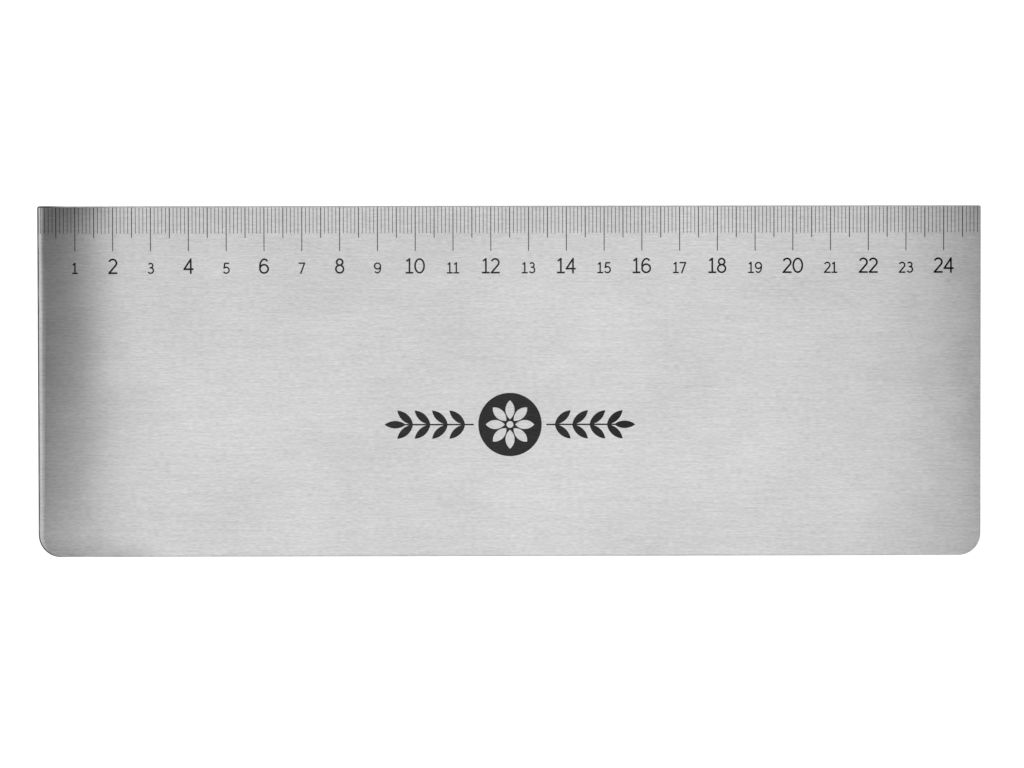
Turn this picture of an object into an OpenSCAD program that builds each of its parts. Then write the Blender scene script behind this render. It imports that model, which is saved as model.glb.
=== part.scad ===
// Cake scraper: one flat blade of stainless steel sheet with a centimetre ruler along one long edge.
// The blade lies flat with its marked face up. X runs along the ruler, the way its numbers rise,
// Y points to the ruler edge, Z points up, and the origin is under the middle of the blade.

/* [Blade] */
// Length of the blade, along the ruler
blade_length = 250; // [150:10:300]
// Width of the blade, from the ruler edge to the far edge
blade_width = 93; // [80:1:130]
// Thickness of the sheet
sheet_thickness = 1.2; // [1:0.1:2]
// Radius that takes the sharpness off every edge of the sheet
edge_round = 0.4; // [0.2:0.05:0.45]
// Radius of the two rounded corners, at the far edge
far_corner_r = 6; // [2:0.5:15]
// Radius of the two nearly square corners, at the ruler edge
ruler_corner_r = 0.6; // [0.5:0.1:1.5]
// Depth of every engraved mark
mark_depth = 0.05; // [0.02:0.01:0.1]

/* [Ruler lines] */
// Distance from one line to the next, which is 1 on a true ruler
graduation = 1; // [1:0.5:2]
// Length of the millimetre lines
fine_line_length = 7.3; // [4:0.1:8]
// Length of the half-centimetre lines
half_line_length = 8.5; // [4:0.1:11]
// Length of the centimetre lines
long_line_length = 12; // [8:0.1:15]
// Width of the millimetre lines
fine_line_width = 0.14; // [0.1:0.01:0.3]
// Width of the half-centimetre and centimetre lines
long_line_width = 0.22; // [0.1:0.01:0.4]

/* [Numbers] */
// Gap between the centimetre lines and the even numbers
number_gap = 1.9; // [0.5:0.1:3]
// Height of the even numbers
even_height = 4.1; // [3:0.1:5]
// Height of the odd numbers
odd_height = 3; // [2:0.1:4]
// Stroke width of the even numbers
even_stroke = 0.47; // [0.25:0.01:0.5]
// Stroke width of the odd numbers
odd_stroke = 0.39; // [0.2:0.01:0.4]
// Gap between the two digits of a number
digit_gap = 0.2; // [0.1:0.05:0.5]

/* [Ornament] */
// Distance from the ruler edge to the middle of the ornament
ornament_drop = 58; // [40:1:60]
// Radius of the dark disc in the middle
disc_r = 8.4; // [7:0.1:12]
// Number of bright petals on the disc
petals = 8; // [5:1:9]
// Length of a petal
petal_length = 5; // [3:0.1:6]
// Width of a petal
petal_width = 2.4; // [1:0.1:2.6]
// Radius of the bright eye inside the petals
eye_r = 0.9; // [0.5:0.1:1.2]
// Pairs of leaves on each sprig
leaf_pairs = 4; // [2:1:6]
// Distance along the stem from one pair of leaves to the next
leaf_pitch = 4.6; // [4:0.1:6]
// Length of a leaf
leaf_length = 5.6; // [3:0.1:7]
// Width of a leaf
leaf_width = 2; // [1:0.1:2.5]
// Angle between a leaf and its stem
leaf_angle = 42; // [25:1:60]
// Width of a stem
stem_width = 0.4; // [0.2:0.05:0.6]
// Gap between the disc and the ornament's other parts
ornament_gap = 1.2; // [0.5:0.1:3]

/* [Hidden] */
// Every circle above 12 sides is rebuilt as a true circle
$fn = 48;
steel = "#c9cbcc";
// The outline without the band that the edge rounding takes
flat_length = blade_length - 2 * edge_round;
flat_width = blade_width - 2 * edge_round;
ruler_y = blade_width / 2;
left_x = -blade_length / 2;
// The ruler lines stop just short of the edge rounding
line_end_gap = 0.05;
line_top = ruler_y - edge_round - line_end_gap;
// A ruler line falls on neither end of the blade
line_count = ceil(blade_length / graduation) - 1;
number_pitch = 10 * graduation;
// The last number keeps clear of the blade's end
number_end_margin = 4;
number_count = floor((blade_length - number_end_margin) / number_pitch);
number_y = ruler_y - long_line_length - number_gap - even_height;
ornament_y = ruler_y - ornament_drop;
petal_start = eye_r + 0.5;
// Longest turn between two points of a digit's curve, in degrees
arc_step = 30;
// Distance between the middles of a digit's left and right strokes, as a share of its height
digit_reach = [0.66, 0.44, 0.54, 0.56, 0.62, 0.58, 0.6, 0.53, 0.56, 0.6];
// Radii as the same share: the small ring of the 8 and its large ring, the bowls and tails of the 6 and 9
small_r = 0.22;
large_r = 0.28;
bowl_r = 0.3;
tail_r = 0.32;

// Corners of the outline, as the signs of X and Y and the radius
corners = [
    [-1, -1, far_corner_r],
    [1, -1, far_corner_r],
    [1, 1, ruler_corner_r],
    [-1, 1, ruler_corner_r]
];

// The sheet without its edge band: a rectangle whose corners are square cuts filled by quarter discs
module flat_core() {
    linear_extrude(sheet_thickness) {
        difference() {
            square([flat_length, flat_width], center = true);
            for (c = corners) corner_cell(c);
        }
        for (c = corners) intersection() {
            corner_cell(c);
            corner_place(c) circle(c[2] - edge_round);
        }
    }
}

// Centre of a corner's radius
module corner_place(c) {
    translate([c[0] * (blade_length / 2 - c[2]), c[1] * (blade_width / 2 - c[2])]) children();
}

// The square that holds a corner's quarter disc
module corner_cell(c) {
    side = c[2] - edge_round;
    corner_place(c) translate([min(c[0], 0) * side, min(c[1], 0) * side]) square(side);
}

// Section of the edge band: x runs outward from the core and y up through the sheet
module edge_section() {
    translate([0, edge_round]) square([edge_round, sheet_thickness - 2 * edge_round]);
    for (y = [edge_round, sheet_thickness - edge_round])
        intersection() {
            translate([0, y]) circle(edge_round);
            translate([0, y == edge_round ? 0 : y]) square(edge_round);
        }
}

// Straight stretch of the edge band, from one point of the core's outline to another
module edge_run(start, end) {
    way = end - start;
    translate([start.x, start.y, 0])
        rotate(atan2(way.y, way.x))
            rotate([90, 0, 90]) mirror([1, 0, 0]) linear_extrude(norm(way)) edge_section();
}

// The whole edge band, once round the blade
module edge_band() {
    x = flat_length / 2;
    y = flat_width / 2;
    far = far_corner_r - edge_round;
    near = ruler_corner_r - edge_round;
    edge_run([-x + far, -y], [x - far, -y]);
    edge_run([x, -y + far], [x, y - near]);
    edge_run([x - near, y], [-x + near, y]);
    edge_run([-x, y - near], [-x, -y + far]);
    for (i = [0:3]) corner_place(corners[i])
        rotate(180 + 90 * i)
            rotate_extrude(angle = 90) translate([corners[i][2] - edge_round, 0]) edge_section();
}

// Points along a stretch of an oval of half sizes a and b, from one angle to the other
function arc(centre, a, b, from, to) =
    let (steps = ceil(abs(to - from) / arc_step))
    [for (i = [0:steps]) let (t = from + (to - from) * i / steps) centre + [a * cos(t), b * sin(t)]];

function direction(from, to) = (to - from) / norm(to - from);

// One side of a path, set off by d to its left, with mitred corners
function side(path, d) = [
    for (i = [0:len(path) - 1])
        let (
            before = direction(path[max(i - 1, 0)], path[max(i, 1)]),
            after = direction(path[min(i, len(path) - 2)], path[min(i + 1, len(path) - 1)]),
            lean = before + after
        )
        path[i] + 2 * d * [-lean.y, lean.x] / (lean * lean)
];

// A stroke of even width with square ends, along a path of two or more points
module stroke(path, width) {
    back = side(path, -width / 2);
    polygon(concat(side(path, width / 2), [for (i = [len(back) - 1:-1:0]) back[i]]));
}

// A closed stroke round an oval
module ring(centre, a, b, width) {
    difference() {
        polygon(arc(centre, a + width / 2, b + width / 2, arc_step, 360));
        polygon(arc(centre, a - width / 2, b - width / 2, arc_step, 360));
    }
}

// A blunt joint where two strokes meet at a sharp angle
module joint(centre, width) {
    translate(centre) rotate(22.5) circle(d = width / cos(22.5), $fn = 8);
}

// The angle on a circle at which a line from it reaches the point p without a corner
function tangent_angle(centre, r, p) =
    atan2(p.y - centre.y, p.x - centre.x) + acos(r / norm(p - centre));

// One digit, from 0 to 9, with its left stroke's middle on x = 0 and its foot on y = 0
module digit(n, height, width) {
    u = height - width;
    reach = digit_reach[n] * u;
    // Strokes are placed by their middles, so the foot stroke's middle lies half a stroke up
    translate([0, width / 2]) {
        if (n == 0) ring([reach / 2, u / 2], reach / 2, u / 2, width);
        if (n == 1) digit_one(reach, u, width);
        if (n == 2) digit_two(reach, u, width);
        if (n == 3) digit_three(u, width);
        if (n == 4) digit_four(reach, u, width);
        if (n == 5) digit_five(reach, u, width);
        if (n == 6) digit_six(u, width);
        if (n == 7) digit_seven(reach, u, width);
        if (n == 8) digit_eight(u, width);
        if (n == 9) translate([reach, u]) rotate(180) digit_six(u, width);
    }
}

// Foot, stem and flag
module digit_one(reach, u, width) {
    middle = reach / 2;
    flag_y = 0.84 * u;
    stroke([[-width / 2, 0], [reach + width / 2, 0]], width);
    stroke([[middle, 0], [middle, u + width / 2]], width);
    stroke([[0, flag_y], [middle, u]], width);
}

// Hook, slanting stroke and foot
module digit_two(reach, u, width) {
    r = reach / 2;
    top = [r, u - r];
    hook_start = 160;
    leave = tangent_angle(top, r, [0, 0]);
    stroke(concat(arc(top, r, r, hook_start, leave), [[0, 0]]), width);
    stroke([[0, 0], [reach + width / 2, 0]], width);
    joint([0, 0], width);
}

// Two hooks that meet at a short bar
module digit_three(u, width) {
    middle = large_r * u;
    waist = 2 * large_r * u;
    bar = 0.1 * u;
    hook_end = 150;
    stroke(arc([middle, waist + small_r * u], small_r * u, small_r * u, hook_end, -90), width);
    stroke(arc([middle, large_r * u], large_r * u, large_r * u, 90, -hook_end), width);
    stroke([[middle - bar, waist], [middle, waist]], width);
}

// Stem, crossbar and slanting stroke
module digit_four(reach, u, width) {
    stem_x = reach - 0.14 * u;
    bar_y = 0.28 * u;
    stroke([[stem_x, -width / 2], [stem_x, u + width / 2]], width);
    stroke([[0, bar_y], [reach + width / 2, bar_y]], width);
    stroke([[0, bar_y], [stem_x, u]], width);
    joint([0, bar_y], width);
}

// Top bar, short stem and bowl
module digit_five(reach, u, width) {
    r = bowl_r * u;
    head_x = 0.15 * u;
    bowl_start = 135;
    bowl_end = -150;
    bowl = arc([reach - r, r], r, r, bowl_start, bowl_end);
    stroke(bowl, width);
    stroke([bowl[0], [head_x, u], [reach, u]], width);
    joint(bowl[0], width);
}

// Round bowl with a tail, which is a stretch of a full-height oval
module digit_six(u, width) {
    r = bowl_r * u;
    a = tail_r * u;
    tail_start = 200;
    tail_end = 45;
    ring([r, r], r, r, width);
    stroke(arc([a, u / 2], a, u / 2, tail_start, tail_end), width);
}

// Top bar and slanting stem
module digit_seven(reach, u, width) {
    foot_x = 0.13 * u;
    stroke([[-width / 2, u], [reach, u], [foot_x, -width / 2]], width);
}

// Small ring on a larger one
module digit_eight(u, width) {
    middle = large_r * u;
    ring([middle, large_r * u], large_r * u, large_r * u, width);
    ring([middle, (2 * large_r + small_r) * u], small_r * u, small_r * u, width);
}

// Full width of a digit, with its strokes
function digit_width(n, height, width) = digit_reach[n] * (height - width) + width;

// A number of one or two digits, centred on x = 0
module number(value) {
    height = value % 2 == 0 ? even_height : odd_height;
    width = value % 2 == 0 ? even_stroke : odd_stroke;
    tens = floor(value / 10);
    units = value % 10;
    tens_width = tens == 0 ? 0 : digit_width(tens, height, width) + digit_gap;
    start = (width - tens_width - digit_width(units, height, width)) / 2;
    if (tens > 0) translate([start, 0]) digit(tens, height, width);
    translate([start + tens_width, 0]) digit(units, height, width);
}

function line_length(i) =
    i % 10 == 0 ? long_line_length : i % 5 == 0 ? half_line_length : fine_line_length;

// Turns flat marks into cutters, from their floor to above the face
module engrave() {
    translate([0, 0, sheet_thickness - mark_depth]) linear_extrude(2 * mark_depth) children();
}

module ruler_lines() {
    engrave() for (i = [1:line_count]) {
        x = left_x + i * graduation;
        width = i % 5 == 0 ? long_line_width : fine_line_width;
        stroke([[x, ruler_y - line_length(i)], [x, line_top]], width);
    }
}

module numbers() {
    engrave() for (value = [1:number_count])
        translate([left_x + value * number_pitch, number_y]) number(value);
}

// A leaf or petal from the origin along X: two arcs that meet in points
module leaf(length, width) {
    r = (length * length / 4 + width * width / 4) / width;
    intersection() {
        translate([length / 2, r - width / 2]) circle(r);
        translate([length / 2, width / 2 - r]) circle(r);
    }
}

// Dark disc on which the petals and the eye stay bright
module rosette() {
    difference() {
        circle(disc_r);
        circle(eye_r);
        for (i = [0:petals - 1])
            rotate(i * 360 / petals) translate([petal_start, 0]) leaf(petal_length, petal_width);
    }
}

// Stem with pairs of leaves and one leaf at its end, along X
module sprig() {
    start = disc_r + ornament_gap;
    stem_end = start + leaf_pairs * leaf_pitch;
    stroke([[start, 0], [stem_end, 0]], stem_width);
    for (i = [1:leaf_pairs], turn = [-leaf_angle, leaf_angle])
        translate([start + (i - 0.5) * leaf_pitch, 0]) rotate(turn) leaf(leaf_length, leaf_width);
    // Its point lies inside the stem, so that the two overlap and don't just touch
    translate([stem_end - stem_width, 0]) leaf(leaf_length, leaf_width);
}

module ornament() {
    engrave() translate([0, ornament_y]) {
        rosette();
        sprig();
        rotate(180) sprig();
    }
}

module scraper_blade() {
    color(steel) difference() {
        union() {
            flat_core();
            edge_band();
        }
        ruler_lines();
        numbers();
        ornament();
    }
}

scraper_blade();
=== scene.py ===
# %% [markdown]
# # A cake scraper
# The real object is one flat blade of brushed stainless steel, 250 mm long. A centimetre ruler runs along
# one long edge, and a leaf ornament sits in the lower half. Cooks pull the long edge over icing to smooth it.
#
# A drawing program could model it as a box with a picture on it. Here the marks are real pockets in the
# steel, because a picture blurs up close and has no depth when light grazes it. Everything is worked out in
# millimetres with numpy and becomes metres at the end.

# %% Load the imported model
import bpy
import numpy as np
from mathutils.geometry import delaunay_2d_cdt
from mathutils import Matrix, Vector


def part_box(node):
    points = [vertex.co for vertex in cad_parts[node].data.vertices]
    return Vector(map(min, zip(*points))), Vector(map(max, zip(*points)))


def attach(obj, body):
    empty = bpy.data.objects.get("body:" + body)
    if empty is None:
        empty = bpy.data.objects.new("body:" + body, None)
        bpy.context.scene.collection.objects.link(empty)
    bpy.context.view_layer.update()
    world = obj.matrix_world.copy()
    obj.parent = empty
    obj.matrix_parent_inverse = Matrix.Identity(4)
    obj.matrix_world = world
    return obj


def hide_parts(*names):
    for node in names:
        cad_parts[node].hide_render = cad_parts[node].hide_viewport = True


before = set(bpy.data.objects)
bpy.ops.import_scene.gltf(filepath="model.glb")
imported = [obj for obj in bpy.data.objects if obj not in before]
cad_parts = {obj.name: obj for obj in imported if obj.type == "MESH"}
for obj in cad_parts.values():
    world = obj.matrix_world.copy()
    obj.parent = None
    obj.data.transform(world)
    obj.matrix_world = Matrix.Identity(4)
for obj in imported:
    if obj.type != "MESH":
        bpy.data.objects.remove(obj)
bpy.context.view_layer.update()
MM = 0.001
low, high = (np.array(corner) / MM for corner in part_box("scraper_blade"))
length, width, thickness = high - low

# %% [markdown]
# ## The outline
# The blade's outline is a rectangle with two 6 mm corners at the far edge and two nearly square ones at the
# ruler edge. It could be drawn with a curve object and filled. A list of points with the direction that
# points outwards at each is more useful here, because the rounded edge is then one formula for every point.

# %% Points and outward directions round the blade
edge_round = 0.4
far_corner_r = 6
ruler_corner_r = 0.6
far_corner_steps = 24
ruler_corner_steps = 8


def corner(sign_x, sign_y, radius, start, steps):
    """A quarter turn: the centre lies one radius inside both sides, the directions are (cos t, sin t),
    and the points stand off the centre along them by the radius less the edge rounding."""
    t = np.radians(np.linspace(start, start + 90, steps + 1))
    out = np.stack([np.cos(t), np.sin(t)], axis=1)
    centre = np.array([sign_x * (length / 2 - radius), sign_y * (width / 2 - radius)])
    return centre + (radius - edge_round) * out, out


corners = [
    corner(-1, -1, far_corner_r, 180, far_corner_steps),
    corner(1, -1, far_corner_r, 270, far_corner_steps),
    corner(1, 1, ruler_corner_r, 0, ruler_corner_steps),
    corner(-1, 1, ruler_corner_r, 90, ruler_corner_steps),
]
flat_outline = np.vstack([points for points, _ in corners])
outward = np.vstack([out for _, out in corners])
print(f"outline of {len(flat_outline)} points")

# %% [markdown]
# ## Strokes
# Every line of the ruler and every digit is a stroke: a path with a width. Blender's text object could make
# the digits, but its letter shapes belong to a font. Strokes along arcs and straight lines give plain
# numbers of our own.

# %% Strokes, bands, rings and blobs
arc_step = 10
# A blob on a joint is this much wider than its strokes, so that it covers their corners
blob_share = 1.08


def oval(centre, a, b, start, end):
    """Points on a stretch of an oval: the centre plus (a cos t, b sin t), t from start to end in degrees."""
    steps = int(np.ceil(abs(end - start) / arc_step))
    t = np.radians(np.linspace(start, end, steps + 1))
    return np.asarray(centre) + np.stack([a * np.cos(t), b * np.sin(t)], axis=1)


def stroke(path, line):
    """A stroke along straight stretches. Where two meet, the sum of their directions turned by a right
    angle is the mitre, and dividing by its square keeps the stroke's width even."""
    path = np.asarray(path, dtype=float)
    way = np.diff(path, axis=0)
    way /= np.linalg.norm(way, axis=1, keepdims=True)
    lean = np.vstack([way[:1], way]) + np.vstack([way, way[-1:]])
    off = line * np.stack([-lean[:, 1], lean[:, 0]], axis=1) / (lean ** 2).sum(axis=1, keepdims=True)
    return [np.vstack([path - off, (path + off)[::-1]])]


def band(centre, a, b, start, end, line):
    """A stroke along an oval: out along an oval half a stroke larger, back along one that much smaller."""
    outer = oval(centre, a + line / 2, b + line / 2, min(start, end), max(start, end))
    inner = oval(centre, a - line / 2, b - line / 2, max(start, end), min(start, end))
    return [np.vstack([outer, inner])]


def ring(centre, a, b, line):
    """A closed stroke: the larger oval is its outside and the smaller one its hole."""
    return [oval(centre, a + side, b + side, 0, 360)[:-1] for side in (line / 2, -line / 2)]


def blob(centre, line):
    """A round blob over a joint of two strokes."""
    r = blob_share * line / 2
    return [oval(centre, r, r, 0, 360)[:-1]]


print(f"a ring has {sum(len(outline) for outline in ring((0, 0), 1, 1, 0.4))} points")

# %% [markdown]
# ## Digits
# The real ruler has upright digits with even strokes, large for even centimetres and small for odd ones.
# Each digit below is drawn on the middles of its strokes, in shares of its height, so one drawing serves
# both sizes. A shape is a list of outlines: the first is its outside and any others are its holes.

# %% One digit
# How far each digit from 0 to 9 reaches across, as a share of its height
digit_reach = [0.66, 0.44, 0.54, 0.56, 0.62, 0.58, 0.6, 0.53, 0.56, 0.6]
# More shares of the height: bowls, the tail of the 6, and single strokes of the 1, 3, 4, 5 and 7
small_share = 0.22
large_share = 0.28
bowl_share = 0.3
tail_share = 0.32
flag_foot = 0.84
waist_bar = 0.1
stem_inset = 0.14
crossbar = 0.28
five_lean = 0.15
seven_foot = 0.13
# Directions in degrees where open bowls, the hook of the 2, the bowl of the 5 and the tail of the 6 end
bowl_end = 150
hook_start = 160
shoulder = 135
tail_from, tail_to = 200, 45


def moved(shapes, shift):
    """The same shapes in another place."""
    return [[outline + shift for outline in shape] for shape in shapes]


def digit_shapes(digit, height, line):
    """Strokes of a digit whose left stroke has its middle on x = 0 and whose foot is on y = 0."""
    u = height - line
    reach = digit_reach[digit] * u
    small, large, bowl, tail = (share * u for share in (small_share, large_share, bowl_share, tail_share))
    if digit == 0:
        shapes = [ring((reach / 2, u / 2), reach / 2, u / 2, line)]
    elif digit == 1:
        middle = reach / 2
        shapes = [
            stroke([(-line / 2, 0), (reach + line / 2, 0)], line),
            stroke([(middle, 0), (middle, u + line / 2)], line),
            stroke([(0, flag_foot * u), (middle, u)], line),
        ]
    elif digit == 2:
        r = reach / 2
        leave = np.degrees(np.arctan2(r - u, -r) + np.arccos(r / np.hypot(r, u - r)))
        hook = np.vstack([oval((r, u - r), r, r, hook_start, leave), [(0, 0)]])
        shapes = [stroke(hook, line), stroke([(0, 0), (reach + line / 2, 0)], line), blob((0, 0), line)]
    elif digit == 3:
        waist = 2 * large
        shapes = [
            band((large, waist + small), small, small, bowl_end, -90, line),
            band((large, large), large, large, 90, -bowl_end, line),
            stroke([(large - waist_bar * u, waist), (large, waist)], line),
        ]
    elif digit == 4:
        stem_x = reach - stem_inset * u
        bar_y = crossbar * u
        shapes = [
            stroke([(stem_x, -line / 2), (stem_x, u + line / 2)], line),
            stroke([(0, bar_y), (reach + line / 2, bar_y)], line),
            stroke([(0, bar_y), (stem_x, u)], line),
            blob((0, bar_y), line),
        ]
    elif digit == 5:
        centre = (reach - bowl, bowl)
        start = oval(centre, bowl, bowl, shoulder, shoulder)[0]
        shapes = [
            band(centre, bowl, bowl, shoulder, -bowl_end, line),
            stroke([start, (five_lean * u, u), (reach, u)], line),
            blob(start, line),
        ]
    elif digit == 6:
        shapes = [
            ring((bowl, bowl), bowl, bowl, line),
            band((tail, u / 2), tail, u / 2, tail_from, tail_to, line),
        ]
    elif digit == 7:
        shapes = [stroke([(-line / 2, u), (reach, u), (seven_foot * u, -line / 2)], line)]
    elif digit == 8:
        shapes = [
            ring((large, large), large, large, line),
            ring((large, 2 * large + small), small, small, line),
        ]
    else:
        return [[(reach, height) - outline for outline in shape] for shape in digit_shapes(6, height, line)]
    return moved(shapes, (0, line / 2))


print(f"digit 8 has {len(digit_shapes(8, 4.1, 0.42))} strokes")

# %% [markdown]
# ## The ruler
# The real ruler is etched: short thin lines for millimetres, longer ones for half centimetres and the
# longest for centimetres, each running up to the edge. All 249 are one small array calculation.

# %% Lines and numbers
# How far lines reach in from the ruler edge: each tenth one, each other fifth one, and the rest
tenth_reach, fifth_reach, fine_reach = 12.0, 8.5, 7.3
fine_line_width = 0.14
long_line_width = 0.22
line_end_gap = 0.03
even_height, even_line = 4.1, 0.47
odd_height, odd_line = 3.0, 0.39
digit_gap = 0.2
number_drop = 18.0
number_foot = width / 2 - number_drop


def ruler_line_shapes():
    """One four-cornered outline for each millimetre: its middle is that many millimetres from the blade's
    end, and its length depends on whether the count divides by ten, by five or by neither."""
    count = np.arange(1, int(round(length)))
    x = count - length / 2
    half = np.where(count % 5 == 0, long_line_width, fine_line_width) / 2
    reach = np.select([count % 10 == 0, count % 5 == 0], [tenth_reach, fifth_reach], fine_reach)
    foot = width / 2 - reach
    top = np.full(len(count), width / 2 - edge_round - line_end_gap)
    across = np.stack([x - half, x + half, x + half, x - half], axis=1)
    along = np.stack([foot, foot, top, top], axis=1)
    return [[outline] for outline in np.stack([across, along], axis=2)]


def number_shapes(value):
    """A number centred under its centimetre line: the digits' widths and the gaps give the start."""
    height, line = (even_height, even_line) if value % 2 == 0 else (odd_height, odd_line)
    digits = [int(letter) for letter in str(value)]
    widths = [digit_reach[digit] * (height - line) + line for digit in digits]
    x = 10 * value - length / 2 - (sum(widths) + digit_gap * (len(digits) - 1)) / 2 + line / 2
    shapes = []
    for digit, digit_width in zip(digits, widths):
        shapes += moved(digit_shapes(digit, height, line), (x, number_foot))
        x += digit_width + digit_gap
    return shapes


marks = ruler_line_shapes()
print(f"{len(marks)} ruler lines")
for value in range(1, int(round(length / 10))):
    marks += number_shapes(value)
print(f"{len(marks)} shapes with the numbers")

# %% [markdown]
# ## The ornament
# A plain leaf ornament fills the middle of the lower half: a dark disc with a bright flower, and a sprig of
# leaves on each side. A leaf is where two equal circles overlap, which is two arcs that meet in points.

# %% Disc, petals and sprigs
ornament_drop = 58
ornament_y = width / 2 - ornament_drop
disc_r = 8.4
eye_r = 0.9
petals = 8
petal_start = eye_r + 0.5
petal_length, petal_width = 5, 2.4
leaf_length, leaf_width = 5.6, 2
leaf_pairs = 4
leaf_pitch = 4.6
leaf_angle = 42
stem_width = 0.4
sprig_start = disc_r + 1.2
leaf_steps = 16
disc_step = 5


def turned(outline, degrees):
    """An outline turned about the origin: the usual rotation matrix."""
    c, s = np.cos(np.radians(degrees)), np.sin(np.radians(degrees))
    return outline @ np.array([[c, s], [-s, c]])


def circle(radius):
    """A full circle in even steps, without the repeated last point."""
    t = np.radians(np.arange(0, 360, disc_step))
    return radius * np.stack([np.cos(t), np.sin(t)], axis=1)


def leaf(leaf_l, leaf_w):
    """A leaf from the origin along X. Its circles have the radius (l^2 + w^2) / 4w, and its half width at x
    is the height of the circle there less the distance of its centre from the leaf's middle line."""
    r = (leaf_l ** 2 + leaf_w ** 2) / (4 * leaf_w)
    x = leaf_l / 2 * (1 - np.cos(np.linspace(0, np.pi, leaf_steps + 1)))
    half = np.sqrt(r ** 2 - (x - leaf_l / 2) ** 2) - (r - leaf_w / 2)
    lower = np.stack([x, -half], axis=1)
    upper = np.stack([x, half], axis=1)[-2:0:-1]
    return np.vstack([lower, upper])


def sprig():
    """A stem with pairs of leaves at even steps, turned to both sides, and one leaf at its end."""
    stem_end = sprig_start + leaf_pairs * leaf_pitch
    outlines = stroke([(sprig_start, 0), (stem_end, 0)], stem_width)
    for i in range(leaf_pairs):
        foot = (sprig_start + (i + 0.5) * leaf_pitch, 0)
        outlines += [turned(leaf(leaf_length, leaf_width), turn) + foot for turn in (-leaf_angle, leaf_angle)]
    outlines.append(leaf(leaf_length, leaf_width) + (stem_end - stem_width, 0))
    return [[outline] for outline in outlines]


petal = leaf(petal_length, petal_width) + (petal_start, 0)
flower = [circle(disc_r), circle(eye_r)] + [turned(petal, i * 360 / petals) for i in range(petals)]
other_sprig = [[turned(outline, 180) for outline in shape] for shape in sprig()]
ornament = moved([flower] + sprig() + other_sprig, (0, ornament_y))
marks += ornament
print(f"ornament of {len(ornament)} shapes, the flower with {len(flower) - 1} bright holes")

# %% [markdown]
# ## Cutting the marks into the sheet
# A boolean modifier could cut hundreds of small pockets, but it is slow and leaves slivers. Blender also has
# a triangulation that keeps given lines as edges: it is handed the blade's outline and every mark at once,
# and says for each triangle which outlines it lies in. A triangle inside a mark's first outline and outside
# its holes is the floor of a pocket.

# %% Triangles of the marked face
# Points nearer than this are one point, and only triangles inside an outline are kept
same_point = 1e-4
kept_inside = 1
outlines = [flat_outline]
holes_of = {}
for shape in marks:
    holes_of[len(outlines)] = set(range(len(outlines) + 1, len(outlines) + len(shape)))
    outlines += shape
ends = np.cumsum([len(outline) for outline in outlines])
rings = [list(range(end - len(outline), end)) for outline, end in zip(outlines, ends)]
flat_points = [tuple(point) for point in np.vstack(outlines)]
cut = delaunay_2d_cdt(flat_points, [], rings, kept_inside, same_point)
points = np.array([tuple(point) for point in cut[0]])
triangles = np.array(cut[2])
dark = np.array([any(i in holes_of and not holes_of[i] & set(inside) for i in inside) for inside in cut[5]])
print(f"{len(points)} points, {(~dark).sum()} bright and {dark.sum()} dark triangles")

# %% [markdown]
# ## From flat triangles to a solid blade
# Dark triangles drop by the depth of the marks, and a wall closes each side between a dark and a bright
# triangle. The rounded edge is a profile, a quarter turn above and below a short straight side, carried
# round the outline. The plain back is one flat face.

# %% Top face, pocket floors and walls
mark_depth = 0.05


def at_height(flat, z):
    """Flat points (x, y) with the height z added."""
    return np.concatenate([flat, np.full(flat.shape[:-1] + (1,), z)], axis=-1)


def pocket_walls():
    """A wall stands on each edge that a dark triangle shares with a bright one. With the edges as pairs
    (a, b) that have their dark triangle on the left, those are the pairs whose reverse isn't dark too.
    The wall runs floor b, floor a, top a, top b, so it faces into the pocket."""
    edges = np.concatenate([triangles[dark][:, [i, (i + 1) % 3]] for i in range(3)])
    forward = edges[:, 0] * len(points) + edges[:, 1]
    backward = edges[:, 1] * len(points) + edges[:, 0]
    a, b = points[edges[np.isin(forward, backward, invert=True)]].transpose(1, 0, 2)
    floor, top = thickness - mark_depth, thickness
    walls = np.stack([at_height(b, floor), at_height(a, floor), at_height(a, top), at_height(b, top)], axis=1)
    away = np.stack([a[:, 1] - b[:, 1], b[:, 0] - a[:, 0]], axis=1)
    away /= np.linalg.norm(away, axis=1, keepdims=True)
    return walls, np.repeat(at_height(away, 0)[:, None], 4, axis=1)


bright_face = at_height(points[triangles[~dark]], thickness)
pocket_floor = at_height(points[triangles[dark]], thickness - mark_depth)
walls, wall_normals = pocket_walls()
print(f"{len(walls)} pocket walls, {mark_depth} mm deep")

# %% The rounded edge
profile_steps = 6


def edge_surface():
    """A grid of outline points i by profile points j. The profile's direction turns from straight up to
    straight down as (sin t, cos t), it stops turning along the straight side, and each point is the
    outline's point plus the edge rounding times that direction, from a centre one rounding inside."""
    quarter = np.linspace(0, np.pi / 2, profile_steps + 1)
    t = np.concatenate([quarter, quarter + np.pi / 2])
    centre_z = np.repeat([thickness - edge_round, edge_round], profile_steps + 1)
    normals = np.concatenate([
        outward[:, None] * np.sin(t)[None, :, None],
        np.broadcast_to(np.cos(t)[None, :, None], (len(outward), len(t), 1)),
    ], axis=2)
    centres = np.concatenate([
        np.repeat(flat_outline[:, None], len(t), axis=1),
        np.broadcast_to(centre_z[None, :, None], (len(outward), len(t), 1)),
    ], axis=2)
    return centres + edge_round * normals, normals


def quads(grid):
    """Corners of the grid's faces: each point with its neighbours below and beside it, round and closed."""
    beside = np.roll(grid, -1, axis=0)
    return np.stack([grid[:, :-1], grid[:, 1:], beside[:, 1:], beside[:, :-1]], axis=2)


band_points, band_normals = edge_surface()
edge_faces = quads(band_points).reshape(-1, 4, 3)
print(f"edge band of {band_points.shape[0]} by {band_points.shape[1]} points")

# %% [markdown]
# ## A flat map of the surface
# When the finish is baked to pictures for other programs, every part of the surface needs its own place in
# a unit square. The marked face gets the largest share. The marks have their own places, apart from the
# steel round them, so that their edges stay crisp.

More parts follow.
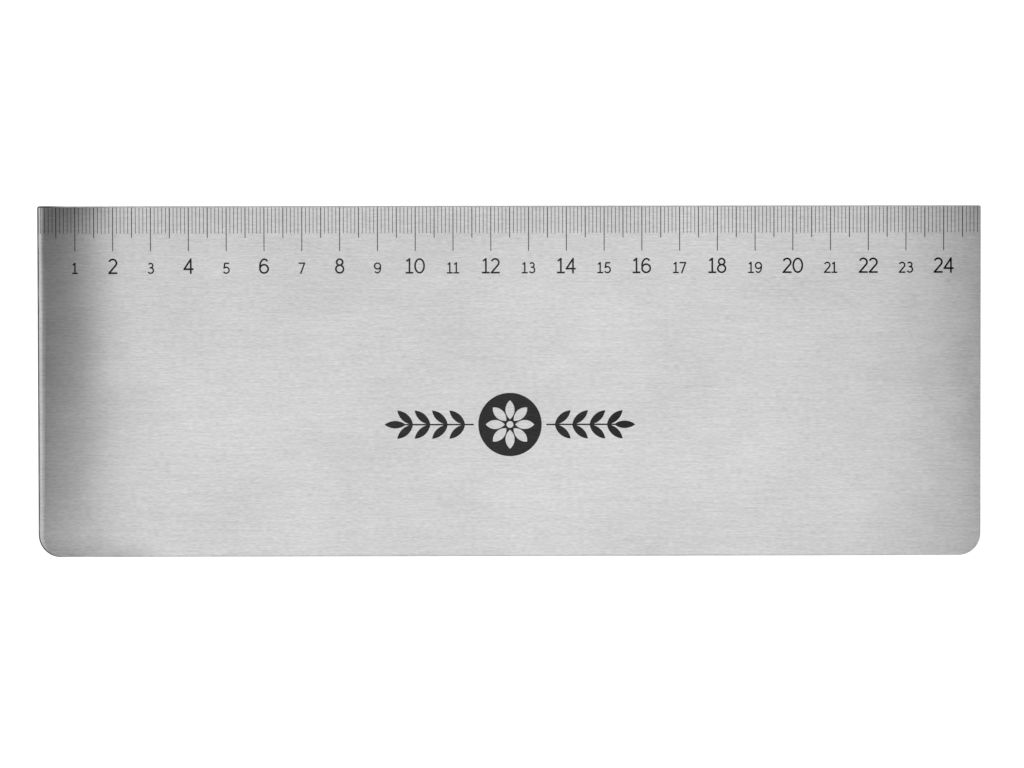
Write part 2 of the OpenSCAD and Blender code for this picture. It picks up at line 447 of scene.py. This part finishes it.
# %% Places on the map
# The gap below the numbers, and half the size of the rectangle round the sprigs and the disc
number_gap = 1
sprigs_half, disc_half = 36, 10
blade_rect = (-length / 2, -width / 2, length / 2, width / 2)
ruler_rect = (-length / 2, number_foot - number_gap, length / 2, width / 2)
ornament_rect = (-sprigs_half, ornament_y - disc_half, sprigs_half, ornament_y + disc_half)
# For each patch: its rectangle on the blade in millimetres, and its place on the map
map_places = {
    "face": (blade_rect, (0.004, 0.005, 0.996, 0.455)),
    "back": (blade_rect, (0.004, 0.465, 0.996, 0.785)),
    "ruler": (ruler_rect, (0.004, 0.795, 0.996, 0.9)),
    "ornament": (ornament_rect, (0.004, 0.91, 0.29, 0.995)),
}
band_place = (0.3, 0.91, 0.996, 0.995)


def flat_map(corners_3d, patch):
    """Map places of a patch's corners: x and y slide and stretch from the blade's rectangle to the map's."""
    (x0, y0, x1, y1), (u0, v0, u1, v1) = map_places[patch]
    share = (corners_3d[..., :2] - (x0, y0)) / (x1 - x0, y1 - y0)
    return (u0, v0) + share * (u1 - u0, v1 - v0)


def mark_map(corners_3d):
    """Marks above the middle of the blade belong to the ruler, those below it to the ornament."""
    above = corners_3d[..., 1].mean(axis=1) > 0
    return np.where(above[:, None, None], flat_map(corners_3d, "ruler"), flat_map(corners_3d, "ornament"))


def band_map():
    """The band unrolled: u follows the way round the outline and v the way down the profile."""
    side = np.linalg.norm(np.roll(band_points[:, 0], -1, axis=0) - band_points[:, 0], axis=1)
    round_way = np.concatenate([[0], np.cumsum(side)]) / side.sum()
    down = np.linalg.norm(np.diff(band_points[0], axis=0), axis=1)
    down_way = np.concatenate([[0], np.cumsum(down)]) / down.sum()
    u0, v0, u1, v1 = band_place
    u = u0 + (u1 - u0) * np.stack([round_way[:-1], round_way[:-1], round_way[1:], round_way[1:]], axis=1)
    v = v0 + (v1 - v0) * np.stack([down_way[:-1], down_way[1:], down_way[1:], down_way[:-1]], axis=1)
    grid = np.broadcast_arrays(u[:, None], v[None])
    return np.stack(grid, axis=-1).reshape(-1, 4, 2)


print(f"map places: {', '.join(map_places)} and the edge band")

# %% [markdown]
# ## One closed mesh
# The patches come as loose faces. Their corners are matched by place, so that neighbours share points and
# the blade is closed, and every corner keeps the exact normal of its surface. Without that, Blender would
# average normals across the long thin triangles of the face, and streaks of false shade would cross it.

# %% Gather the patches
up, down = np.array([0, 0, 1]), np.array([0, 0, -1])
back_face = at_height(flat_outline[::-1], 0)[None]
steel_slot, mark_slot = 0, 1
# For each patch: corners of its faces, their normals, their map places and its material
patches = [
    (bright_face, np.broadcast_to(up, bright_face.shape), flat_map(bright_face, "face"), steel_slot),
    (edge_faces, quads(band_normals).reshape(-1, 4, 3), band_map(), steel_slot),
    (back_face, np.broadcast_to(down, back_face.shape), flat_map(back_face, "back"), steel_slot),
    (pocket_floor, np.broadcast_to(up, pocket_floor.shape), mark_map(pocket_floor), mark_slot),
    (walls, wall_normals, mark_map(walls), mark_slot),
]
sizes = np.concatenate([np.full(len(patch[0]), patch[0].shape[1]) for patch in patches])
face_slots = np.concatenate([np.full(len(patch[0]), patch[3]) for patch in patches])
corner_points, corner_normals = (np.vstack([patch[i].reshape(-1, 3) for patch in patches]) for i in (0, 1))
corner_map = np.vstack([patch[2].reshape(-1, 2) for patch in patches])
# Places are matched to so many decimals, and adding zero makes minus zero the same as zero
place_digits = 4
rounded = np.round(corner_points, place_digits) + 0.0
vertices, corner_index = np.unique(rounded, axis=0, return_inverse=True)
corner_index = corner_index.ravel()
starts = np.concatenate([[0], np.cumsum(sizes)[:-1]])
print(f"{len(vertices)} points, {len(sizes)} faces")

# %% Make the blade
mesh = bpy.data.meshes.new("scraper_blade_dressed")
mesh.vertices.add(len(vertices))
mesh.vertices.foreach_set("co", (vertices * MM).ravel())
mesh.loops.add(len(corner_index))
mesh.loops.foreach_set("vertex_index", corner_index.astype(np.int32))
mesh.polygons.add(len(sizes))
mesh.polygons.foreach_set("loop_start", starts.astype(np.int32))
mesh.polygons.foreach_set("material_index", face_slots.astype(np.int32))
mesh.polygons.foreach_set("use_smooth", np.ones(len(sizes), dtype=bool))
mesh.update(calc_edges=True)
map_name = "OFBake"
surface_map = mesh.uv_layers.new(name=map_name)
surface_map.uv.foreach_set("vector", corner_map.ravel())
mended = mesh.validate()
mesh.normals_split_custom_set(corner_normals.tolist())
blade = bpy.data.objects.new("scraper_blade_dressed", mesh)
bpy.context.scene.collection.objects.link(blade)

following = np.arange(len(corner_index)) + 1
following[starts + sizes - 1] = starts
pairs = np.sort(np.stack([corner_index, corner_index[following]], axis=1), axis=1)
_, uses = np.unique(pairs, axis=0, return_counts=True)
print(f"mended {mended}, edges not shared by two faces: {(uses != 2).sum()}")

# %% [markdown]
# ## Node helpers
# Materials are node trees. A few small helpers keep them short: one joins a socket to a number or to
# another node, one adds a Math node, and one adds noise whose patches have a given size in millimetres.

# %% Helpers for node trees
def feed(tree, socket, value):
    """Links a socket to another node's output, or sets it to a plain value."""
    if isinstance(value, bpy.types.NodeSocket):
        tree.links.new(value, socket)
    else:
        socket.default_value = value


def math(tree, operation, *values):
    """The result of a Math node on up to three values or outputs."""
    node = tree.nodes.new("ShaderNodeMath")
    node.operation = operation
    for socket, value in zip(node.inputs, values):
        feed(tree, socket, value)
    return node.outputs[0]


def remap(tree, value, from_low, from_high, to_low, to_high):
    """A value slid and stretched from one range to another, and held inside the second."""
    node = tree.nodes.new("ShaderNodeMapRange")
    for name, number in zip(("Value", "From Min", "From Max", "To Min", "To Max"),
                            (value, from_low, from_high, to_low, to_high)):
        feed(tree, node.inputs[name], number)
    return node.outputs["Result"]


# Most of a noise's values lie between these two
noise_low, noise_high = 0.3, 0.7


def noise(tree, where, patch, turn=0.0, detail=2.0, shift=0.0):
    """Noise with patches of the given size (x, y) in millimetres, turned in the plane by some degrees.
    Detail adds finer patches, and a shift in metres keeps one noise apart from another."""
    spin = tree.nodes.new("ShaderNodeMapping")
    spin.inputs["Rotation"].default_value = (0, 0, np.radians(turn))
    spin.inputs["Location"].default_value = (shift, shift, shift)
    stretch = tree.nodes.new("ShaderNodeMapping")
    stretch.inputs["Scale"].default_value = (1 / (patch[0] * MM), 1 / (patch[1] * MM), 1 / (patch[1] * MM))
    texture = tree.nodes.new("ShaderNodeTexNoise")
    texture.inputs["Scale"].default_value = 1
    texture.inputs["Detail"].default_value = detail
    tree.links.new(where, spin.inputs["Vector"])
    tree.links.new(spin.outputs["Vector"], stretch.inputs["Vector"])
    tree.links.new(stretch.outputs["Vector"], texture.inputs["Vector"])
    return texture.outputs[0]


def new_group(name, inputs, outputs):
    """A shader node group with named value inputs and outputs, and a place on the surface as its first."""
    tree = bpy.data.node_groups.new(name, "ShaderNodeTree")
    tree.interface.new_socket("Place", in_out="INPUT", socket_type="NodeSocketVector")
    for label, number in inputs.items():
        socket = tree.interface.new_socket(label, in_out="INPUT", socket_type="NodeSocketFloat")
        socket.default_value = number
    for label in outputs:
        tree.interface.new_socket(label, in_out="OUTPUT", socket_type="NodeSocketFloat")
    return tree, tree.nodes.new("NodeGroupInput").outputs, tree.nodes.new("NodeGroupOutput").inputs


def use_group(tree, group, place, **numbers):
    """Places a group in a material with its own values, and gives its outputs."""
    node = tree.nodes.new("ShaderNodeGroup")
    node.node_tree = group
    tree.links.new(place, node.inputs["Place"])
    for label, number in numbers.items():
        feed(tree, node.inputs[label.replace("_", " ").capitalize()], number)
    return node.outputs


print("node helpers ready")

# %% [markdown]
# ## Brushed grain
# The blade was brushed along its length with an abrasive belt, which leaves overlapping scratches, most of
# them a few millimetres long and less than half a millimetre thick. An image of brushed metal would repeat
# and blur. Noise stretched along X is sharp at every distance, so three sizes of it are added: mostly short
# streaks, fewer of middle length, and a few long soft ones.

# %% Grain group
# Length and thickness of the streaks in millimetres, their weight and a shift that keeps them apart
streaks = (
    ((1.5, 0.4), 0.52, 0.0),
    ((5.0, 0.42), 0.32, 3.1),
    ((22.0, 0.7), 0.16, 7.7),
)
grain_contrast = 2.4


def grain_group():
    """The streaks' noises times their weights, added up, then spread about one half by the contrast."""
    tree, given, result = new_group("brushed_grain", {"Contrast": grain_contrast}, ["Streaks"])
    total = 0.0
    for patch, weight, shift in streaks:
        total = math(tree, "MULTIPLY_ADD", noise(tree, given["Place"], patch, shift=shift), weight, total)
    centred = math(tree, "SUBTRACT", total, 0.5)
    feed(tree, result["Streaks"], math(tree, "MULTIPLY_ADD", centred, given["Contrast"], 0.5))
    return tree


brushed_grain = grain_group()
print(f"grain of {len(streaks)} sizes of streaks")

# %% [markdown]
# ## Handling
# Steel that is used and wiped isn't even: it has cloudy patches where it was wiped, and single hairline
# scratches at odd angles. Both come from noise too. A scratch is where long thin noise reaches its rare
# highest values, kept only inside random patches so that there are few.

# %% Handling group
cloud_patch = (30, 22)
scratch_patch = (22, 0.22)
scratch_turns = (24, -38, 66)
# A scratch starts where its noise passes this value and is full a little above it, and a random patch holds
# scratches where its own noise is above the other two
scratch_share, scratch_fade = 0.72, 0.06
rare_patch = (24, 24)
rare_from, rare_to = 0.5, 0.6


def handling_group():
    """Clouds are broad noise. A scratch is 1 where noise of long thin patches is near its top."""
    tree, given, result = new_group("handling", {"Scratch share": scratch_share}, ["Clouds", "Scratches"])
    clouds = noise(tree, given["Place"], cloud_patch, detail=4.0, shift=2.3)
    feed(tree, result["Clouds"], remap(tree, clouds, noise_low, noise_high, 0.0, 1.0))
    scratches = 0.0
    for i, turn in enumerate(scratch_turns):
        lines = noise(tree, given["Place"], scratch_patch, turn=turn, detail=0.0, shift=5.0 + i)
        top = math(tree, "ADD", given["Scratch share"], scratch_fade)
        line = remap(tree, lines, given["Scratch share"], top, 0.0, 1.0)
        patch = noise(tree, given["Place"], rare_patch, detail=1.0, shift=11.0 + i)
        rare = math(tree, "MULTIPLY", line, remap(tree, patch, rare_from, rare_to, 0.0, 1.0))
        scratches = math(tree, "MAXIMUM", scratches, rare)
    feed(tree, result["Scratches"], scratches)
    return tree


handling = handling_group()
print(f"scratches at {scratch_turns} degrees to the grain")

# %% [markdown]
# ## The rolled edge, with painted shade along it
# The zero end is rolled down a little where it was cut. Its outermost strip is made rougher and painted dark,
# a painted shade along the edge, and the other sides show only a trace of that. Near the same end the steel
# is painted darker along the far edge, also a painted shade. Vertex colours could hold this, but the flat
# face has no points to hold them.
# It is found from the place alone: the distance to the nearest side is half the blade's size less the
# distance from its middle, and at a rounded corner it is the radius less the distance from its centre.

# %% Edge group
# The strip of painted shade at the edge, which is also rougher: its width, the share of the width at which it
# starts to fade, and how its width varies
edge_width = 0.5
edge_core = 0.7
uneven_patch = (7, 7)
uneven_width = (0.8, 1.2)
# How far from the zero end its full strip and its roll start to fade, and where they are gone
end_full, end_gone = 3, 8
# How much of the strip there is along the other edges, and how much on the side below the upper rounding,
# with the heights between which that changes
other_edge_share = 0.1
side_share = 0.4
side_from, side_to = 0.75, 1.0
# The zero end's roll at the far edge and at the ruler edge: how wide it is, and the slopes that it starts
# with and reaches. Its corner lies a little past the far edge, so that it runs out round the blade's corner
roll_widths = (1.5, 2.7)
roll_starts = (0.2, 0.0)
roll_slopes = (1.44, 0.6)
roll_past_edge = 1.5
# The painted shade along the far edge: its width, how far from the zero end it is full and gone, and how
# it varies
far_edge_shade_width = 8
far_edge_shade_full, far_edge_shade_gone = 12, 36
uneven_far_edge_shade = (0.6, 1.4)


def outline_distance(tree, away_x, away_y, radius):
    """Distance in millimetres to two sides and the corner where they meet, from how far a place is from the
    blade's middle towards each. With q those distances less the half size and plus the corner's radius, it
    is the radius less the length of q's positive part, less the larger part of q where both are negative."""
    parts = []
    for away, size in ((away_x, length), (away_y, width)):
        parts.append(math(tree, "ADD", math(tree, "SUBTRACT", away, size / 2), radius))
    squares = [math(tree, "POWER", math(tree, "MAXIMUM", part, 0.0), 2.0) for part in parts]
    beyond = math(tree, "SQRT", math(tree, "ADD", *squares))
    within = math(tree, "MINIMUM", math(tree, "MAXIMUM", *parts), 0.0)
    return math(tree, "SUBTRACT", radius, math(tree, "ADD", beyond, within))


def roll_height(tree, x, y):
    """Height of the rolled end in millimetres. With s the share of its width that a place lies inside it, its
    slope is start + (slope - start) * s^3, so its height is minus the width times
    start * s + (slope - start) * s^4 / 4. All three change evenly from the far edge to the ruler edge."""
    zero_x = math(tree, "MULTIPLY", x, -1.0)
    far_y = math(tree, "SUBTRACT", -roll_past_edge, y)
    distance = outline_distance(tree, zero_x, far_y, far_corner_r + roll_past_edge)
    roll_width, start, slope = (
        remap(tree, y, -width / 2, width / 2, *both) for both in (roll_widths, roll_starts, roll_slopes)
    )
    inside = math(tree, "SUBTRACT", 1.0, math(tree, "DIVIDE", distance, roll_width))
    inside = math(tree, "MAXIMUM", inside, 0.0)
    quarter = math(tree, "DIVIDE", math(tree, "SUBTRACT", slope, start), 4.0)
    fall = math(tree, "MULTIPLY", math(tree, "POWER", inside, 4.0), quarter)
    fall = math(tree, "MULTIPLY_ADD", inside, start, fall)
    return math(tree, "MULTIPLY", math(tree, "MULTIPLY", fall, roll_width), -1.0)


def edge_group():
    """The dark strip of painted shade is 1 up to a little inside the outline and fades to 0, with an uneven
    width, times its share at that end and on the side. The painted shade along the far edge is the square of
    the nearness to the far edge, times how near the zero end is."""
    tree, given, result = new_group("edge_roll_and_shade", {"Edge width": edge_width}, ["Edge", "Roll", "Far_edge_shade"])
    split = tree.nodes.new("ShaderNodeSeparateXYZ")
    tree.links.new(given["Place"], split.inputs["Vector"])
    x, y = (math(tree, "DIVIDE", split.outputs[axis], MM) for axis in ("X", "Y"))
    far_half = math(tree, "LESS_THAN", y, 0.0)
    radius = math(tree, "MULTIPLY_ADD", far_half, far_corner_r - ruler_corner_r, ruler_corner_r)
    distance = outline_distance(tree, math(tree, "ABSOLUTE", x), math(tree, "ABSOLUTE", y), radius)
    end = length / 2 * MM
    at_zero_end = remap(tree, split.outputs["X"], end_gone * MM - end, end_full * MM - end, 0.0, 1.0)
    uneven = noise(tree, given["Place"], uneven_patch, detail=3.0, shift=4.2)
    varied = remap(tree, uneven, noise_low, noise_high, *uneven_width)
    reach = math(tree, "MULTIPLY", given["Edge width"], varied)
    strip = remap(tree, distance, math(tree, "MULTIPLY", reach, edge_core), reach, 1.0, 0.0)
    share = remap(tree, at_zero_end, 0.0, 1.0, other_edge_share, 1.0)
    side = remap(tree, split.outputs["Z"], side_from * MM, side_to * MM, side_share, 1.0)
    # The strip is painted shade: it darkens the colour along the edge
    feed(tree, result["Edge"], math(tree, "MULTIPLY", math(tree, "MULTIPLY", strip, share), side))
    feed(tree, result["Roll"], math(tree, "MULTIPLY", roll_height(tree, x, y), at_zero_end))
    # Painted shade: darker along the far edge, near the zero end
    near = remap(tree, y, -width / 2, far_edge_shade_width - width / 2, 1.0, 0.0)
    past = remap(tree, x, far_edge_shade_gone - length / 2, far_edge_shade_full - length / 2, 0.0, 1.0)
    far_edge_shade = math(tree, "MULTIPLY", math(tree, "MULTIPLY", near, near), past)
    varied = remap(tree, uneven, noise_low, noise_high, *uneven_far_edge_shade)
    feed(tree, result["Far_edge_shade"], math(tree, "MULTIPLY", far_edge_shade, varied))
    return tree


edge_roll_and_shade = edge_group()
falls = [w * (a + (s - a) / 4) for w, a, s in zip(roll_widths, roll_starts, roll_slopes)]
print("zero end rolled down by", " to ".join(f"{fall:.1f}" for fall in falls), "mm")

# %% [markdown]
# ## The form of the sheet
# No sheet is perfectly flat. This one has long shallow waves from rolling and small dents, and it droops at
# both ends, most at the zero end and towards the ruler. The droop is about as deep as the sheet is thick and
# spread over four centimetres or more, so nobody sees it as a shape, but it bends the reflection: it is why
# the left end turns dark so fast. The mesh could be bent, but it has to stay as flat as the solid that it
# stands for, so the form is given to the shader as a height.

# %% Sheet form group
wave_patch, wave_height = (70, 50), 0.12
dent_patch, dent_height = (20, 14), 0.12
# For each end: its side, how far from the middle its droop starts at the far edge, how much later it starts
# at the ruler edge, how much of that the ruler's strip takes back, the slope that it reaches at the far edge,
# and how many times as much more at the ruler edge
droops = (
    (-1, 87.2, 7.5, 2.4, 0.103, 1.43),
    (1, 50.0, 0.0, 0.0, 0.029, 0.2),
)
ruler_strip = 10.5


def sheet_group():
    """Height in millimetres: the waves and dents less a droop at each end. A droop whose slope grows with
    the square of the distance d past its start has the depth slope * d^3 / 3 D^2, where D is the whole
    distance. Both the start and the slope change evenly from the far edge to the ruler edge, and in the
    ruler's strip the start comes nearer the middle again with the square of the place across the strip."""
    heights = {"Wave height": wave_height, "Dent height": dent_height}
    tree, given, result = new_group("sheet_form", heights, ["Height"])
    split = tree.nodes.new("ShaderNodeSeparateXYZ")
    tree.links.new(given["Place"], split.inputs["Vector"])
    waves = noise(tree, given["Place"], wave_patch, detail=1.0, shift=1.4)
    dents = noise(tree, given["Place"], dent_patch, detail=1.0, shift=6.6)
    height = math(tree, "MULTIPLY", waves, given["Wave height"])
    height = math(tree, "MULTIPLY_ADD", dents, given["Dent height"], height)
    ruler_share = remap(tree, split.outputs["Y"], -width / 2 * MM, width / 2 * MM, 0.0, 1.0)
    strip_share = remap(tree, split.outputs["Y"], (width / 2 - ruler_strip) * MM, width / 2 * MM, 0.0, 1.0)
    strip_share = math(tree, "MULTIPLY", strip_share, strip_share)
    for side, start, later, sooner, slope, steeper in droops:
        past = math(tree, "MULTIPLY_ADD", split.outputs["X"], side / MM, -start)
        past = math(tree, "MULTIPLY_ADD", ruler_share, -later, past)
        past = math(tree, "MULTIPLY_ADD", strip_share, sooner, past)
        cube = math(tree, "POWER", math(tree, "MAXIMUM", past, 0.0), 3.0)
        bent = math(tree, "MULTIPLY", cube, math(tree, "MULTIPLY_ADD", ruler_share, steeper, 1.0))
        whole = length / 2 - start
        height = math(tree, "MULTIPLY_ADD", bent, -slope / (3 * whole ** 2), height)
    feed(tree, result["Height"], height)
    return tree


sheet_form = sheet_group()
print(f"{len(droops)} ends droop")

# %% [markdown]
# ## The steel
# Brushed steel is a metal whose grooves spread a highlight across the grain and keep it narrow along it.
# Anisotropy does that: the tangent comes from the surface map, which runs along the grain, and a quarter
# turn lays the spread across it. The colour is a light neutral grey with small changes from the grain, the
# clouds and the scratches, and painted shade darkens it along the far edge near the zero end and in a strip
# at the edge.

# %% Steel material
steel_tone = 0.63
# The dark tone that the painted shade strip at the edge mixes the steel towards
edge_shade_tone = 0.08
# How many times as dark or light each pattern makes the steel, at its lowest and at its highest value
grain_tones = (0.82, 1.18)
cloud_tones = (0.946, 1.054)
scratch_tones = (1.0, 0.93)
# How dark the painted shade along the far edge makes the steel
far_edge_shade_tones = (1.0, 0.42)
# The roughness, and what each pattern adds to it
steel_roughness = 0.281
grain_roughness = 0.005
cloud_roughness = 0.01
edge_roughness = 0.15
grain_depth = 0.0015
across_spread = 0.62
quarter_turn = 0.25


def new_material(name):
    """An empty material with a Principled shader, and the place on the object for its patterns."""
    material = bpy.data.materials.new(name)
    material.use_nodes = True
    tree = material.node_tree
    shader = tree.nodes["Principled BSDF"]
    place = tree.nodes.new("ShaderNodeTexCoord").outputs["Object"]
    return material, tree, shader, place


def grey(tree, value):
    """A grey colour with the given value in each channel."""
    node = tree.nodes.new("ShaderNodeCombineColor")
    for channel in ("Red", "Green", "Blue"):
        feed(tree, node.inputs[channel], value)
    return node.outputs["Color"]


def bump(tree, height, depth, below=None):
    """Normals tilted by the slope of a height, where 1 stands for the given depth in metres."""
    node = tree.nodes.new("ShaderNodeBump")
    node.inputs["Distance"].default_value = depth
    feed(tree, node.inputs["Height"], height)
    if below is not None:
        tree.links.new(below, node.inputs["Normal"])
    return node.outputs["Normal"]


def steel_material():
    """The tone is one product of the steel's own tone and the patterns, among them painted shade along the
    far edge, and the painted shade strip at the edge mixes it towards a dark tone. Roughness adds small parts
    of the same patterns. The sheet's form and the rolled end tilt the normals, and the grain tilts them a
    little more."""
    material, tree, shader, place = new_material("brushed_steel")
    streaks = use_group(tree, brushed_grain, place)["Streaks"]
    handled = use_group(tree, handling, place)
    worked = use_group(tree, edge_roll_and_shade, place)
    edge = worked["Edge"]
    tone = math(tree, "MULTIPLY", remap(tree, streaks, 0.0, 1.0, *grain_tones), steel_tone)
    tone = math(tree, "MULTIPLY", tone, remap(tree, handled["Clouds"], 0.0, 1.0, *cloud_tones))
    tone = math(tree, "MULTIPLY", tone, remap(tree, handled["Scratches"], 0.0, 1.0, *scratch_tones))
    # Painted shade along the far edge near the zero end darkens the tone
    tone = math(tree, "MULTIPLY", tone, remap(tree, worked["Far_edge_shade"], 0.0, uneven_far_edge_shade[1], *far_edge_shade_tones))
    # The painted shade strip at the edge pulls the tone towards the dark edge tone
    tone = math(tree, "ADD", tone, math(tree, "MULTIPLY", edge, math(tree, "SUBTRACT", edge_shade_tone, tone)))
    feed(tree, shader.inputs["Base Color"], grey(tree, tone))
    low_rough, high_rough = steel_roughness - grain_roughness, steel_roughness + grain_roughness
    rough = remap(tree, streaks, 0.0, 1.0, low_rough, high_rough)
    rough = math(tree, "MULTIPLY_ADD", handled["Clouds"], cloud_roughness, rough)
    rough = math(tree, "MULTIPLY_ADD", edge, edge_roughness, rough)
    feed(tree, shader.inputs["Roughness"], rough)
    form = math(tree, "ADD", use_group(tree, sheet_form, place)["Height"], worked["Roll"])
    sheet = bump(tree, form, MM)
    feed(tree, shader.inputs["Normal"], bump(tree, streaks, grain_depth * MM, below=sheet))
    tangent = tree.nodes.new("ShaderNodeTangent")
    tangent.direction_type = "UV_MAP"
    tangent.uv_map = map_name
    tree.links.new(tangent.outputs["Tangent"], shader.inputs["Tangent"])
    shader.inputs["Metallic"].default_value = 1.0
    shader.inputs["Anisotropic"].default_value = across_spread
    shader.inputs["Anisotropic Rotation"].default_value = quarter_turn
    return material


steel = steel_material()
print(f"{steel.name} with a tone of {steel_tone} and a roughness of {steel_roughness}")

# %% [markdown]
# ## The engraved marks
# The marks are etched and blackened, so they are nearly black and dull. The grain of the steel still shows
# in them a little. The blackening is thinner in the middle, where the blade is wiped most, and full at the
# ends. One black colour would do from afar, but up close it looks like a printed sticker.

# %% Mark material
# The tones in the middle and at the ends, and how far from the thinnest place each of them is reached
worn_tone, full_tone = 0.046, 0.005
worn_to, full_from = 25, 122
thinnest_x = -15
# The grain's contrast in the marks, the size of the speckles, the values between which they count, how many
# times as dark or light both make a mark, its roughness, and the speckles' depth
mark_contrast = 2.0
speckle_patch = (0.5, 0.3)
speckle_low, speckle_high = 0.35, 0.7
mark_grain_tones = (0.7, 1.35)
speckle_tones = (0.85, 1.3)
mark_roughness = (0.5, 0.65)
speckle_depth = 0.004


def mark_material():
    """The tone falls evenly with the distance from the thinnest place, and it rises with the grain and with
    fine speckles."""
    material, tree, shader, place = new_material("blackened_mark")
    split = tree.nodes.new("ShaderNodeSeparateXYZ")
    tree.links.new(place, split.inputs["Vector"])
    away = math(tree, "ABSOLUTE", math(tree, "SUBTRACT", split.outputs["X"], thinnest_x * MM))
    tone = remap(tree, away, worn_to * MM, full_from * MM, worn_tone, full_tone)
    streaks = use_group(tree, brushed_grain, place, contrast=mark_contrast)["Streaks"]
    speckles = noise(tree, place, speckle_patch, detail=2.0, shift=9.0)
    tone = math(tree, "MULTIPLY", tone, remap(tree, streaks, 0.0, 1.0, *mark_grain_tones))
    tone = math(tree, "MULTIPLY", tone, remap(tree, speckles, speckle_low, speckle_high, *speckle_tones))
    feed(tree, shader.inputs["Base Color"], grey(tree, tone))
    rough = remap(tree, speckles, noise_low, noise_high, *mark_roughness)
    feed(tree, shader.inputs["Roughness"], rough)
    feed(tree, shader.inputs["Normal"], bump(tree, speckles, speckle_depth * MM))
    shader.inputs["Metallic"].default_value = 1.0
    return material


for finish in (steel, mark_material()):
    mesh.materials.append(finish)
print("materials:", ", ".join(material.name for material in mesh.materials))

# %% [markdown]
# ## The place on the bench
# The blade lies flat on a white surface, with one large soft lamp overhead. A metal shows what it faces, so
# the lamp's panel is what makes the blade light grey, and where the panel ends the blade turns dark, as its
# left end does. One even sky would be simpler, but the blade would look flat and plain under it. The world is
# a dark ceiling round the lamp and bright towards the horizon, so that the blade is bright from low views
# too. A small bright card beside the lamp lights the dark end a little.

# %% The lamp
lamp = bpy.data.objects.new("overhead_panel", bpy.data.lights.new("overhead_panel", "AREA"))
lamp.data.shape = "RECTANGLE"
lamp.data.size = 0.855
lamp.data.size_y = 0.73
lamp.data.energy = 2.122
lamp.location = (0.0125, 0.0, 1.0)
bpy.context.scene.collection.objects.link(lamp)
print(f"lamp of {lamp.data.size:.3f} x {lamp.data.size_y:.2f} m")

# %% The world
# Strengths of the horizon, the ceiling and the card, and the least rise that a direction is divided by
horizon, ceiling = 0.85, 0.01
card_strength = 2.5
least_rise = 0.02
world = bpy.data.worlds.new("studio")
world.use_nodes = True
bpy.context.scene.world = world
tree = world.node_tree
background = tree.nodes["Background"]
direction = tree.nodes.new("ShaderNodeTexCoord").outputs["Generated"]


def along(vector):
    """How far the world's direction points along a vector: their dot product."""
    node = tree.nodes.new("ShaderNodeVectorMath")
    node.operation = "DOT_PRODUCT"
    tree.links.new(direction, node.inputs[0])
    node.inputs[1].default_value = np.array(vector) / np.linalg.norm(vector)
    return node.outputs["Value"]


def overhead(middle, half, soft):
    """1 inside a rectangle overhead and 0 outside it. Its middle and half sizes are slopes: how far a
    direction goes along X or Y for each metre that it rises."""
    inside = 1.0
    rise = math(tree, "MAXIMUM", along((0, 0, 1)), least_rise)
    for axis, centre, reach in zip(((1, 0, 0), (0, 1, 0)), middle, half):
        off = math(tree, "ABSOLUTE", math(tree, "SUBTRACT", math(tree, "DIVIDE", along(axis), rise), centre))
        inside = math(tree, "MULTIPLY", inside, remap(tree, off, reach - soft, reach + soft, 1.0, 0.0))
    return inside


dark_ceiling = overhead(middle=(-0.02, 0.22), half=(0.92, 0.585), soft=0.28)
near_card = overhead(middle=(-0.437, -0.312), half=(0.1, 0.11), soft=0.02)
dome = remap(tree, dark_ceiling, 0.0, 1.0, horizon, ceiling)
light = math(tree, "MULTIPLY_ADD", near_card, card_strength, dome)
rays = tree.nodes.new("ShaderNodeLightPath").outputs
feed(tree, background.inputs["Strength"], math(tree, "MAXIMUM", light, rays["Is Camera Ray"]))
background.inputs["Color"].default_value = (1, 1, 1, 1)
print(f"world with a horizon of {horizon} and a card of {card_strength}")

# %% The floor
floor_tone = 0.8
floor_glow = 0.68
floor_half = 4.0
floor_gap = 0.00002


def floor_material():
    """A white surface that also shines a little for the rays that see it, so that it is white in the open
    and keeps the blade's shadow."""
    material, tree, shader, _ = new_material("bench_white")
    rays = tree.nodes.new("ShaderNodeLightPath").outputs
    seen = math(tree, "MAXIMUM", rays["Is Camera Ray"], rays["Is Glossy Ray"])
    seen = math(tree, "MAXIMUM", seen, rays["Is Transmission Ray"])
    shader.inputs["Base Color"].default_value = (floor_tone, floor_tone, floor_tone, 1)
    shader.inputs["Roughness"].default_value = 0.9
    shader.inputs["Specular IOR Level"].default_value = 0.0
    shader.inputs["Emission Color"].default_value = (1, 1, 1, 1)
    feed(tree, shader.inputs["Emission Strength"], math(tree, "MULTIPLY", seen, floor_glow))
    return material


floor_mesh = bpy.data.meshes.new("bench")
floor_corners = [(x * floor_half, y * floor_half, 0) for x, y in ((-1, -1), (1, -1), (1, 1), (-1, 1))]
floor_mesh.from_pydata(floor_corners, [], [(0, 1, 2, 3)])
floor_mesh.materials.append(floor_material())
floor = bpy.data.objects.new("bench", floor_mesh)
floor.location.z = -floor_gap
bpy.context.scene.collection.objects.link(floor)
print(f"floor {2 * floor_half:.0f} m wide")

# %% [markdown]
# ## The camera
# The picture was taken from straight above, a little off the middle and tilted by less than a degree, so
# both long edges look almost equally long. A lens of 65 mm from half a metre gives the same mild perspective.

# %% Camera
camera = bpy.data.objects.new("camera", bpy.data.cameras.new("camera"))
camera.data.lens = 65
camera.data.sensor_width = 36
camera.location = (-0.00167, 0.00554, 0.49105)
camera.rotation_euler = np.radians((-0.737, -0.2604, -0.1))
bpy.context.scene.collection.objects.link(camera)
bpy.context.scene.camera = camera
bpy.context.scene.view_settings.view_transform = "Standard"
print("camera at", [round(value, 4) for value in camera.location])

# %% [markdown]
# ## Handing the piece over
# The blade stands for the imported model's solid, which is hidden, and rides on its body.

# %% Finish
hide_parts("scraper_blade")
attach(blade, "root")
